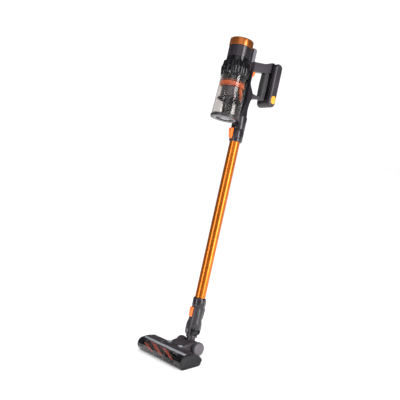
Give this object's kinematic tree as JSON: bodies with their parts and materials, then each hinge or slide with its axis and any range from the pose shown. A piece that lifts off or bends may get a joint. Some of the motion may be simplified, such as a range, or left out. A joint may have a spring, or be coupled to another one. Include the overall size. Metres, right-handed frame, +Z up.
{
  "type": "cordless stick vacuum",
  "caption": "Upright cordless stick vacuum: roller floor head, folding neck, tube wand and a cyclone hand unit with clear dust cup, looped handle and rear battery.",
  "frame": {"origin": "on the floor, at the centre of the machine's footprint box", "axes": "+Z up, -Y towards the front of the floor head, +X to the machine's left as seen from the front"},
  "size_m": [0.244, 0.5188, 1.0495],
  "materials": {
    "dark_plastic": "fine moulded texture",
    "gloss_black": "polished",
    "dark_metallic": "metallic paint under clear coat",
    "clear_smoke": "polished clear, lightly smoked",
    "tube_orange": "anodised orange, drawn",
    "bright_trim": "silver paint",
    "cap_silver": "light grey paint",
    "band_orange": "anodised copper orange",
    "orange_plastic": "smooth moulded",
    "seal_orange": "soft",
    "mesh_steel": "fine perforated",
    "lid_grey": "fine moulded texture",
    "black_rubber": "matt",
    "tread_rubber": "matt",
    "hub_grey": "fine moulded texture",
    "bristle_nylon": "fibrous",
    "pile_red": "woven pile",
    "core_grey": "moulded",
    "grip_rubber": "soft touch",
    "battery_plastic": "fine moulded texture",
    "cell_sleeve": "shrink film",
    "steel": "turned",
    "filter_paper": "pleated",
    "white_plastic": "moulded"
  },
  "bodies": {
    "floor_head": {"head_base": "dark_plastic", "head_top_cover": "dark_plastic", "brush_window": "clear_smoke", "trim_bar": "bright_trim", "side_cap_left": "gloss_black", "side_cap_right": "gloss_black", "brush_end_bush": "white_plastic", "brush_motor": "steel", "drive_belt": "black_rubber", "wheel_axle": "steel", "neck_cradle": "dark_plastic", "sole_fasteners": "steel"},
    "wheel_left": {"wheel_tyre_left": "tread_rubber", "wheel_hub_left": "hub_grey"},
    "wheel_right": {"wheel_tyre_right": "tread_rubber", "wheel_hub_right": "hub_grey"},
    "roller_left": {"front_roller_left": "hub_grey"},
    "roller_right": {"front_roller_right": "hub_grey"},
    "brush_roll": {"brush_core": "core_grey", "bristle_strips": "bristle_nylon", "pile_strips": "pile_red"},
    "motor_rotor": {"motor_pulley": "steel"},
    "neck": {"neck_barrel": "dark_plastic", "neck_hose": "black_rubber"},
    "elbow": {"elbow_fork": "dark_metallic", "swivel_pins": "steel", "lower_button_spring": "steel"},
    "lower_release": {"lower_button": "orange_plastic"},
    "wand": {"wand_tube": "tube_orange", "wand_lower_fitting": "dark_metallic", "wand_upper_fitting": "dark_metallic", "wand_conduit": "dark_plastic", "upper_button_spring": "steel"},
    "upper_release": {"upper_button": "orange_plastic"},
    "hand_unit": {"spine": "dark_metallic", "handle_top_bar": "dark_metallic", "handle_bottom_bar": "dark_metallic", "grip": "grip_rubber", "battery_rail": "gloss_black", "upright_block": "cap_silver", "motor_housing": "dark_metallic", "suction_motor": "dark_plastic", "cyclone_cluster": "gloss_black", "cup_collar": "gloss_black", "clear_cup": "clear_smoke", "seal_ring": "seal_orange", "mesh_shroud": "mesh_steel", "skirt_and_post": "gloss_black", "lid_hinge_pin": "steel"},
    "trigger": {"trigger": "orange_plastic"},
    "mode_button": {"mode_button": "orange_plastic"},
    "battery": {"battery_shell": "battery_plastic", "battery_cells": "cell_sleeve"},
    "battery_release_left": {"battery_button_left": "orange_plastic"},
    "battery_release_right": {"battery_button_right": "orange_plastic"},
    "cup_lid": {"cup_lid": "lid_grey", "lid_seal": "black_rubber"},
    "filter_cap": {"filter_cap": "band_orange", "fine_filter": "filter_paper"},
    "impeller": {"impeller": "white_plastic"}
  },
  "joints": [
    {"name": "wheel_left_spin", "type": "hinge", "parent": "floor_head", "child": "wheel_left", "pos_m": [0, -0.1319, 0.022], "axis": [1, 0, 0], "continuous": true},
    {"name": "wheel_right_spin", "type": "hinge", "parent": "floor_head", "child": "wheel_right", "pos_m": [0, -0.1319, 0.022], "axis": [1, 0, 0], "continuous": true},
    {"name": "roller_left_spin", "type": "hinge", "parent": "floor_head", "child": "roller_left", "pos_m": [-0.092, -0.1959, 0.006], "axis": [1, 0, 0], "continuous": true},
    {"name": "roller_right_spin", "type": "hinge", "parent": "floor_head", "child": "roller_right", "pos_m": [0.092, -0.1959, 0.006], "axis": [1, 0, 0], "continuous": true},
    {"name": "brush_spin", "type": "hinge", "parent": "floor_head", "child": "brush_roll", "pos_m": [0, -0.2379, 0.0205], "axis": [1, 0, 0], "continuous": true},
    {"name": "motor_spin", "type": "hinge", "parent": "floor_head", "child": "motor_rotor", "pos_m": [0, -0.1939, 0.02], "axis": [1, 0, 0], "continuous": true},
    {"name": "neck_pitch", "type": "hinge", "parent": "floor_head", "child": "neck", "pos_m": [0, -0.1319, 0.022], "axis": [-1, 0, 0], "range_deg": [-16, 62]},
    {"name": "neck_tilt", "type": "hinge", "parent": "neck", "child": "elbow", "pos_m": [0, -0.11851, 0.06809], "axis": [0, 0.9603, -0.279], "range_deg": [-50, 50]},
    {"name": "lower_button_press", "type": "slide", "parent": "elbow", "child": "lower_release", "axis": [0, 0.9603, -0.279], "range_m": [0, 0.0013], "stiffness_N_per_m": 600, "springref_m": -0.001},
    {"name": "wand_pull", "type": "slide", "parent": "elbow", "child": "wand", "axis": [0, 0.279, 0.9603], "range_m": [0, 0.03]},
    {"name": "upper_button_press", "type": "slide", "parent": "wand", "child": "upper_release", "axis": [0, 0.9603, -0.279], "range_m": [0, 0.0013], "stiffness_N_per_m": 600, "springref_m": -0.001},
    {"name": "hand_unit_pull", "type": "slide", "parent": "wand", "child": "hand_unit", "axis": [0, 0.279, 0.9603], "range_m": [0, 0.026]},
    {"name": "trigger_pull", "type": "hinge", "parent": "hand_unit", "child": "trigger", "pos_m": [0, 0.14857, 0.94437], "axis": [1, 0, 0], "range_deg": [0, 12], "stiffness_Nm_per_rad": 0.5, "springref_deg": -5.73},
    {"name": "mode_button_press", "type": "slide", "parent": "hand_unit", "child": "mode_button", "axis": [0, -0.9603, 0.279], "range_m": [0, 0.0015], "stiffness_N_per_m": 400, "springref_m": -0.001},
    {"name": "battery_slide", "type": "slide", "parent": "hand_unit", "child": "battery", "axis": [0, -0.279, -0.9603], "range_m": [0, 0.09]},
    {"name": "battery_left_press", "type": "slide", "parent": "battery", "child": "battery_release_left", "axis": [1, 0, 0], "range_m": [0, 0.0015], "stiffness_N_per_m": 600, "springref_m": -0.001},
    {"name": "battery_right_press", "type": "slide", "parent": "battery", "child": "battery_release_right", "axis": [-1, 0, 0], "range_m": [0, 0.0015], "stiffness_N_per_m": 600, "springref_m": -0.001},
    {"name": "cup_lid_swing", "type": "hinge", "parent": "hand_unit", "child": "cup_lid", "pos_m": [0, 0.06604, 0.75529], "axis": [1, 0, 0], "range_deg": [0, 45]},
    {"name": "filter_cap_lift", "type": "slide", "parent": "hand_unit", "child": "filter_cap", "axis": [0, 0.279, 0.9603], "range_m": [0, 0.04]},
    {"name": "impeller_spin", "type": "hinge", "parent": "hand_unit", "child": "impeller", "pos_m": [0, 0.0773, 0.97862], "axis": [0, 0.279, 0.9603], "continuous": true}
  ],
  "couplings": [
    {"joint": "motor_spin", "follows": "brush_spin", "ratio": 1.8}
  ]
}
